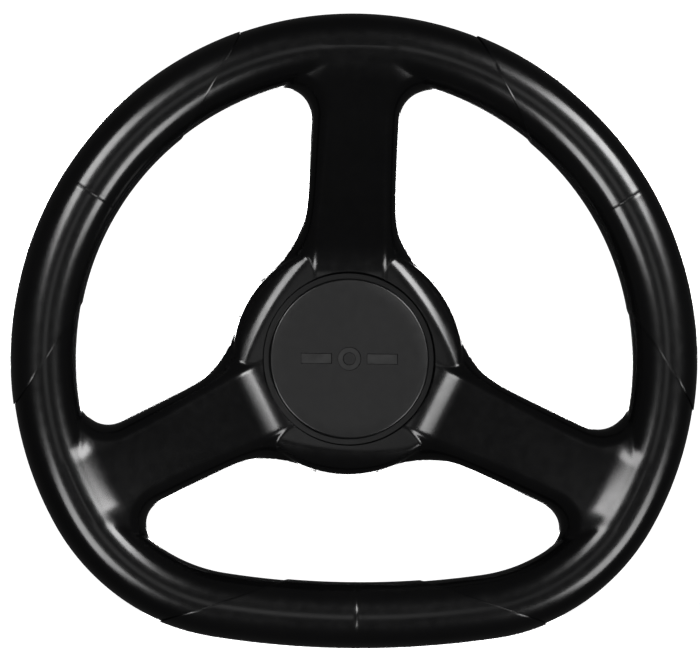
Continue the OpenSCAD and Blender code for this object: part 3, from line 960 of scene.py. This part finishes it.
def node_material(name, colour, roughness, metallic=0.0):
    """A material, its node tree and its shader, with the parts that are the same all over."""
    material = bpy.data.materials.new(name)
    material.use_nodes = True
    nodes = material.node_tree.nodes
    shader = nodes["Principled BSDF"]
    shader.inputs["Base Color"].default_value = (*colour, 1)
    shader.inputs["Roughness"].default_value = roughness
    shader.inputs["Metallic"].default_value = metallic
    return material, nodes, material.node_tree.links, shader


# Part of a noise texture's range that is used, because it seldom goes beyond it
NOISE_LOW, NOISE_HIGH = 0.3, 0.7


def noise(nodes, links, scale, detail=2.0, stretch=(1, 1, 1)):
    """A noise texture fixed to the object, in cycles per metre."""
    origin = nodes.new("ShaderNodeTexCoord")
    mapping = nodes.new("ShaderNodeMapping")
    mapping.inputs["Scale"].default_value = stretch
    texture = nodes.new("ShaderNodeTexNoise")
    texture.inputs["Scale"].default_value = scale
    texture.inputs["Detail"].default_value = detail
    links.new(origin.outputs["Object"], mapping.inputs["Vector"])
    links.new(mapping.outputs["Vector"], texture.inputs["Vector"])
    return texture.outputs["Fac"]


def ranged(nodes, links, source, low, high):
    """A texture's value spread between two numbers."""
    spread = nodes.new("ShaderNodeMapRange")
    spread.inputs["From Min"].default_value = NOISE_LOW
    spread.inputs["From Max"].default_value = NOISE_HIGH
    spread.inputs["To Min"].default_value = low
    spread.inputs["To Max"].default_value = high
    links.new(source, spread.inputs["Value"])
    return spread.outputs["Result"]


def tint(nodes, links, source, dark, light):
    """A colour between two, by a texture's value."""
    ramp = nodes.new("ShaderNodeValToRGB")
    ramp.color_ramp.elements[0].position = NOISE_LOW
    ramp.color_ramp.elements[0].color = (*dark, 1)
    ramp.color_ramp.elements[1].position = NOISE_HIGH
    ramp.color_ramp.elements[1].color = (*light, 1)
    links.new(source, ramp.inputs["Fac"])
    return ramp.outputs["Color"]


def bump(nodes, links, source, shader, distance):
    """Small relief from a texture, in metres."""
    relief = nodes.new("ShaderNodeBump")
    relief.inputs["Distance"].default_value = distance
    relief.inputs["Strength"].default_value = 1.0
    links.new(source, relief.inputs["Height"])
    links.new(relief.outputs["Normal"], shader.inputs["Normal"])


def moulded_plastic(name, dark, light, rough_low, rough_high, grain, relief, specular=0.5):
    """Satin moulded polyurethane or plastic: fine grain, faint cloudiness, uneven gloss."""
    material, nodes, links, shader = node_material(name, dark, rough_low)
    cloud = noise(nodes, links, 38, 3)
    links.new(tint(nodes, links, cloud, dark, light), shader.inputs["Base Color"])
    gloss = noise(nodes, links, 210, 2)
    links.new(ranged(nodes, links, gloss, rough_low, rough_high), shader.inputs["Roughness"])
    shader.inputs["Specular IOR Level"].default_value = specular
    bump(nodes, links, noise(nodes, links, grain, 2), shader, relief)
    return material


METAL_GRAIN = 2600
METAL_RELIEF = 2e-6
LATHE_MARKS = (1, 14, 1)
BROACH_MARKS = (1, 12, 1)


def metal(name, dark, light, rough_low, rough_high, stretch=(1, 1, 1), metallic=1.0):
    """Worked or plated metal: faint tint changes, uneven gloss and fine tool marks."""
    material, nodes, links, shader = node_material(name, dark, rough_low, metallic)
    cloud = noise(nodes, links, 60, 3)
    links.new(tint(nodes, links, cloud, dark, light), shader.inputs["Base Color"])
    marks = noise(nodes, links, METAL_GRAIN, 2, stretch)
    links.new(ranged(nodes, links, marks, rough_low, rough_high), shader.inputs["Roughness"])
    bump(nodes, links, marks, shader, METAL_RELIEF)
    return material


def grey(shade, blue=0.0):
    """A grey, with a little more blue if wanted."""
    return (shade, shade, shade + blue)


moulded = moulded_plastic(
    "moulded_pu", grey(0.0018, 0.0002), grey(0.0026, 0.0002), 0.155, 0.185, 3200, 3e-6, 0.43
)
grip_pu = moulded_plastic("grip_pu", grey(0.002, 0.0002), grey(0.0028, 0.0002), 0.155, 0.185, 2600, 3e-6)
cap_plastic = moulded_plastic(
    "cap_plastic", grey(0.0035, 0.0002), grey(0.0045, 0.0002), 0.24, 0.26, 4200, 2e-6
)
frame_steel = metal("frame_steel", grey(0.34, 0.01), grey(0.46, 0.01), 0.35, 0.55)
zinc_steel = metal("zinc_steel", (0.52, 0.53, 0.55), (0.66, 0.66, 0.64), 0.28, 0.42)
hard_steel = metal("hard_steel", grey(0.2, 0.01), grey(0.3, 0.01), 0.25, 0.4, BROACH_MARKS)
black_anodised = metal(
    "black_anodised", grey(0.012, 0.001), grey(0.02, 0.001), 0.3, 0.42, LATHE_MARKS, metallic=0.6
)
clear_anodised = metal(
    "clear_anodised", (0.62, 0.63, 0.65), (0.72, 0.72, 0.73), 0.26, 0.38, LATHE_MARKS
)
spring_steel = metal("spring_steel", grey(0.42, 0.02), grey(0.56, 0.01), 0.2, 0.32)
black_steel = metal("black_steel", grey(0.03, 0.002), grey(0.05, 0.002), 0.3, 0.45, metallic=0.9)
ball_steel = metal("ball_steel", grey(0.7, 0.01), grey(0.78), 0.06, 0.12)
mark_floor = moulded_plastic("mark_floor", grey(0.002), grey(0.003), 0.6, 0.7, 4200, 6e-6)
seal_rubber = moulded_plastic("seal_rubber", grey(0.008), grey(0.014), 0.5, 0.65, 3600, 1e-5)


def dress(piece, material):
    """Gives a piece one material all over."""
    piece.data.materials.clear()
    piece.data.materials.append(material)


def place(piece, name, body, slot, material, *nodes):
    """Names a new piece, dresses it and lets it stand for nodes of the frame on a body."""
    piece.name = name
    dress(piece, material)
    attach(piece, body)
    if nodes:
        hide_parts(*nodes)
    return piece


# ---- Stage, camera and lights ----

# The lights stand round the direction that mirrors the camera's
LIGHT_AZIMUTH = math.radians(6)
LIGHT_OFF_AXIS = 26
ROOM_R = 9.0
ROOM_COLOUR = (0.95, 0.95, 0.95)


def polar_place(distance, off_axis, direction):
    """Point at an angle off the lights' common axis, in a direction round that axis."""
    off, turn = math.radians(off_axis), math.radians(direction)
    side = distance * math.sin(off)
    straight = Vector((side * math.cos(turn), -distance * math.cos(off), side * math.sin(turn)))
    return Matrix.Rotation(LIGHT_AZIMUTH, 3, "Z") @ straight


def softbox(name, off_axis, direction, distance, length, width, power, behind=False):
    """A rectangular light facing the wheel, with its length pointing away from the lights' axis."""
    data = bpy.data.lights.new(name, "AREA")
    data.shape = "RECTANGLE"
    data.size, data.size_y = width, length
    data.energy = power
    light = bpy.data.objects.new(name, data)
    location = polar_place(distance, off_axis, direction)
    if behind:
        location.y = -location.y
    turn = math.radians(direction)
    back = location.normalized()
    outward = Vector((math.cos(turn), 0, math.sin(turn)))
    up = (outward - back * outward.dot(back)).normalized()
    light.matrix_world = Matrix((up.cross(back), up, back)).transposed().to_4x4()
    light.location = location
    bpy.context.scene.collection.objects.link(light)


def glow_material(name, colour, strength):
    """Plain pale surface that is partly bright by itself, so that the room looks evenly lit."""
    material, _, _, shader = node_material(name, colour, 0.9)
    shader.inputs["Emission Color"].default_value = (*colour, 1)
    shader.inputs["Emission Strength"].default_value = strength
    shader.inputs["Specular IOR Level"].default_value = 0.0
    return material


def build_stage():
    """A pale floor under the wheel inside a pale round room, seen by the camera only."""
    floor_z = cad_bounds[0][2] - 0.0005
    centre = (0, 0, floor_z)
    bpy.ops.mesh.primitive_circle_add(vertices=96, radius=ROOM_R, fill_type="NGON", location=centre)
    floor = bpy.context.object
    bpy.ops.mesh.primitive_uv_sphere_add(segments=64, ring_count=32, radius=ROOM_R, location=centre)
    room = bpy.context.object
    floor.name, room.name = "floor", "room"
    dress(floor, glow_material("floor_paint", ROOM_COLOUR, 1.02))
    dress(room, glow_material("room_paint", ROOM_COLOUR, 1.1))
    for piece in (floor, room):
        piece.visible_glossy = False
        piece.visible_diffuse = False
        piece.visible_shadow = False


build_stage()

for light_name, direction, width, power in (
    ("softbox_upper_right", 42, 0.5, 26),
    ("softbox_upper_left", 140.5, 0.5, 18),
    ("softbox_lower_left", 214, 0.65, 19),
    ("softbox_lower_right", 326, 0.7, 19),
):
    softbox(light_name, LIGHT_OFF_AXIS, direction, 3.0, length=0.86, width=width, power=power)
softbox("front_fill", off_axis=1.6, direction=180, distance=3.4, length=0.38, width=0.38, power=0.45)
for light_name, off_axis, direction, power in (
    ("softbox_back_right", 19, 35, 24),
    ("softbox_back_left", 19, 150, 24),
    ("softbox_back_low", 16, 270, 12),
):
    softbox(light_name, off_axis, direction, 3.2, length=0.8, width=0.7, power=power, behind=True)

world = bpy.data.worlds.new("studio")
world.use_nodes = True
background = world.node_tree.nodes["Background"]
background.inputs["Color"].default_value = (1, 1, 1, 1)
background.inputs["Strength"].default_value = 0.05
bpy.context.scene.world = world
bpy.context.scene.view_settings.view_transform = "Standard"

VIEW_AZIMUTH = math.radians(-6.5)
VIEW_ELEVATION = math.radians(-2.1)
VIEW_ROLL = math.radians(0.43)
VIEW_DISTANCE = 3.2
# Width that the view takes in at the rim's plane, in metres
FRAME_WIDTH = 0.3240
camera_data = bpy.data.cameras.new("camera")
camera = bpy.data.objects.new("camera", camera_data)
bpy.context.scene.collection.objects.link(camera)
camera_data.sensor_width = 36
rim_y = -RIM_F * 0.001
target = Vector((-0.0027, rim_y, 0.0146))
sight = Vector(
    (
        math.sin(VIEW_AZIMUTH) * math.cos(VIEW_ELEVATION),
        -math.cos(VIEW_AZIMUTH) * math.cos(VIEW_ELEVATION),
        math.sin(VIEW_ELEVATION),
    )
)
camera_data.lens = camera_data.sensor_width * VIEW_DISTANCE / FRAME_WIDTH
camera_data.clip_end = 40
level = (-sight).to_track_quat("-Z", "Y").to_matrix()
camera.matrix_world = (level @ Matrix.Rotation(VIEW_ROLL, 3, "Z")).to_4x4()
camera.location = target + sight * VIEW_DISTANCE
bpy.context.scene.camera = camera

# ---- The wheel ----

place(build_moulding(), "moulded_body", "wheel", "moulded_pu", moulded, "wheel_body")
for grip_name, grip_ends in GRIPS.items():
    skin_name = grip_name + "_skin"
    place(grip(skin_name, *grip_ends), skin_name, "wheel", "grip_pu", grip_pu, grip_name)
cap = place(build_cap(), "cap_skin", "wheel", "cap_plastic", cap_plastic, "center_cap")
cap.data.materials.append(mark_floor)
for face in cap.data.polygons:
    depth = CAP_FRONT + 1000 * face.center.y
    reach = 1000 * math.hypot(face.center.x, face.center.z)
    if abs(depth - MARK_DEPTH) < 0.05 and reach < MARK_REACH:
        face.material_index = 1

for node, material in {
    "rim_hoop": frame_steel,
    "top_spoke_bar": frame_steel,
    "left_spoke_bar": frame_steel,
    "right_spoke_bar": frame_steel,
    "hub_plate": frame_steel,
    "hub_screws": hard_steel,
    "screw_washers": zinc_steel,
    "spline_sleeve": hard_steel,
    "anti_rattle_ring": seal_rubber,
    "retaining_ring": black_steel,
}.items():
    dress(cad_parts[node], material)
for number in range(1, BALLS + 1):
    dress(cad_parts[f"lock_ball_{number}"], ball_steel)

hub = build_release_hub()
place(hub, "release_hub_skin", "wheel", "black_anodised", black_anodised, "release_hub")
collar = build_collar()
place(collar, "lock_collar_skin", "collar", "clear_anodised", clear_anodised, "lock_collar")
spring = build_spring()
place(spring, "collar_spring_coil", "wheel", "spring_steel", spring_steel, "collar_spring")
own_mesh(spring)
seat = build_ring("seat", SEAT_BORE, SEAT_R, NECK_LEN - SEAT_T, NECK_LEN, 0.2)
place(seat, "spring_seat_ring", "wheel", "zinc_steel", zinc_steel, "spring_seat")
washer = build_ring("washer", WASHER_BORE, WASHER_R, CLIP_END, COLLAR_Z, 0.3)
place(washer, "stop_washer_ring", "wheel", "zinc_steel", zinc_steel, "stop_washer")
